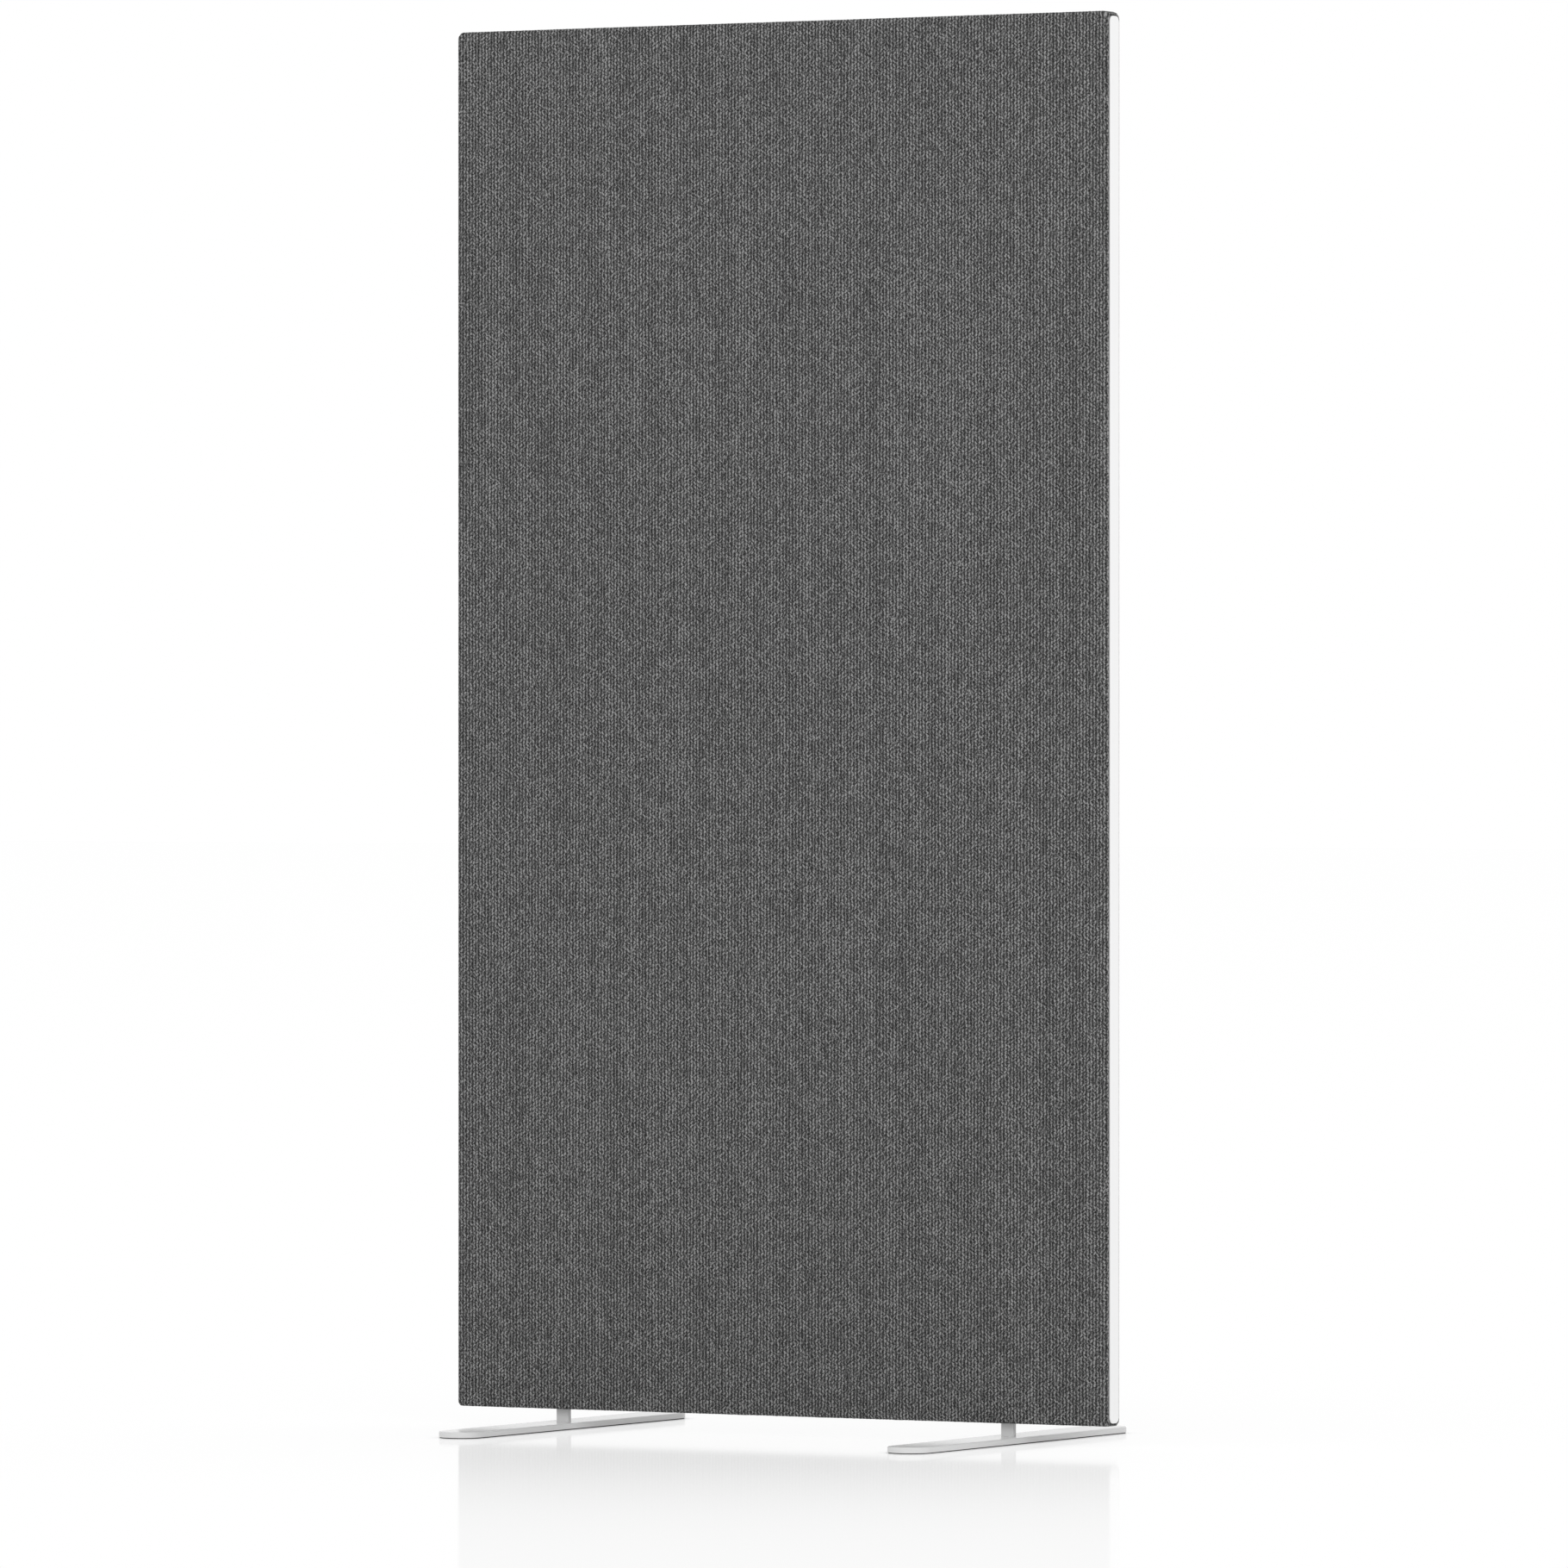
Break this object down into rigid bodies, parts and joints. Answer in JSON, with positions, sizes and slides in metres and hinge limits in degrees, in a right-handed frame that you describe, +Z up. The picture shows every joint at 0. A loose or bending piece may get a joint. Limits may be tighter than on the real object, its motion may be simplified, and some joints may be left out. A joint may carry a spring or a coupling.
{
  "type": "office floor screen",
  "caption": "Free-standing office floor screen: a fabric-covered padded panel with a white snap-in strip down each side edge, standing on flat round-ended steel feet.",
  "frame": {"origin": "on the floor, under the middle of the panel, at the centre of the object's box", "axes": "+X along the panel to the right edge strip that the picture shows, -Y out of the pictured front, +Z up"},
  "size_m": [0.8, 0.466, 1.5],
  "materials": {
    "cover_fabric": "ribbed woven upholstery cloth, charcoal and grey yarns",
    "fleece": "needled polyester fleece",
    "core_felt": "pressed polyester felt slab",
    "pine": "planed pine",
    "channel_aluminium": "mill finish extrusion",
    "white_plastic": "matt white extruded plastic",
    "keder_plastic": "flexible extruded plastic",
    "block_plastic": "moulded plastic",
    "powder_coat": "light grey satin powder coat on steel",
    "zinc_plate": "zinc plated steel",
    "pad_rubber": "matt black rubber sheet"
  },
  "bodies": {
    "root": {"cover": "cover_fabric", "front_fleece": "fleece", "rear_fleece": "fleece", "cover_staples": "zinc_plate", "bottom_rail": "pine", "lower_mid_rail": "pine", "upper_mid_rail": "pine", "top_rail": "pine", "lower_core_slab": "core_felt", "middle_core_slab": "core_felt", "upper_core_slab": "core_felt", "stile_right": "pine", "stile_left": "pine", "edge_channel_right": "channel_aluminium", "edge_channel_left": "channel_aluminium", "edge_strip_right": "white_plastic", "edge_strip_left": "white_plastic", "front_keder_right": "keder_plastic", "front_keder_left": "keder_plastic", "rear_keder_right": "keder_plastic", "rear_keder_left": "keder_plastic", "channel_screws_right": "zinc_plate", "channel_screws_left": "zinc_plate", "lower_corner_block_right": "block_plastic", "lower_corner_block_left": "block_plastic", "upper_corner_block_right": "block_plastic", "upper_corner_block_left": "block_plastic", "post_bracket_right": "powder_coat", "post_bracket_left": "powder_coat", "bracket_screws_right": "zinc_plate", "bracket_screws_left": "zinc_plate", "foot_plate_right": "powder_coat", "foot_plate_left": "powder_coat", "foot_pad_right": "pad_rubber", "foot_pad_left": "pad_rubber", "foot_screws_right": "zinc_plate", "foot_screws_left": "zinc_plate"}
  },
  "joints": []
}
